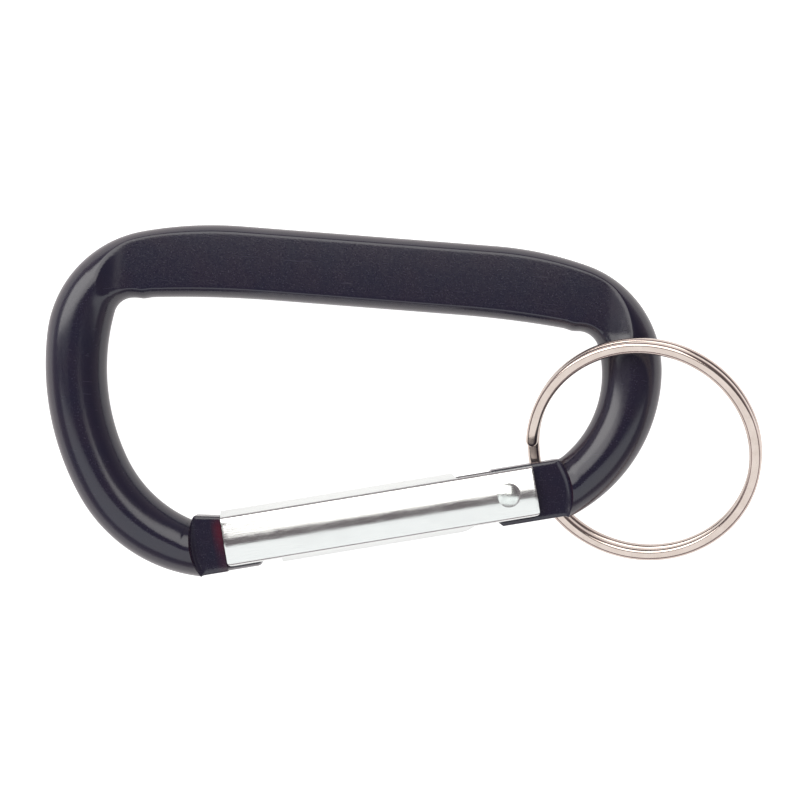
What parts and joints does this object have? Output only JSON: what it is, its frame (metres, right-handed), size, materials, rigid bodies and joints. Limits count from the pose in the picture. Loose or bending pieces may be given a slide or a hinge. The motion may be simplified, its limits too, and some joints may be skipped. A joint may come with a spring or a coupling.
{
  "type": "carabiner keyring",
  "caption": "D-shaped snap hook of bent round rod with a flat-pressed spine, a sprung folded-sheet gate on a rivet, and a split ring at its narrow end.",
  "frame": {"origin": "middle of the opening the hook closes around, on the hook's mid-plane", "axes": "+X along the straight spine towards the narrow end that carries the split ring, +Y from the gate towards the spine, +Z out of the hook's front face"},
  "size_m": [0.0936, 0.0458, 0.0148],
  "materials": {
    "anodised_rod": "gloss",
    "gate_sheet": "satin",
    "rivet": "polished",
    "plunger": "satin",
    "spring_wire": "satin",
    "ring_wire": "polished"
  },
  "bodies": {
    "hook": {"hook_body": "anodised_rod"},
    "gate": {"gate": "gate_sheet", "gate_rivet": "rivet", "gate_spring": "spring_wire"},
    "plunger": {"spring_plunger": "plunger"},
    "ring": {"split_ring": "ring_wire"}
  },
  "joints": [
    {"name": "gate_hinge", "type": "hinge", "parent": "hook", "child": "gate", "pos_m": [0.021, -0.01065, 0], "axis": [0, 0, -1], "range_deg": [0, 32], "stiffness_Nm_per_rad": 0.2},
    {"name": "plunger_slide", "type": "slide", "parent": "gate", "child": "plunger", "axis": [-0.9711, -0.2385, 0], "range_m": [0, 0.0019], "deforming": ["gate_spring"]},
    {"name": "ring_swing", "type": "hinge", "parent": "hook", "child": "ring", "pos_m": [0.031, -0.0001, 0.0004], "axis": [0.8949, -0.4462, 0], "range_deg": [0, 126]}
  ],
  "couplings": [
    {"joint": "plunger_slide", "follows": "gate_hinge", "m_per_rad": 0.00305}
  ]
}
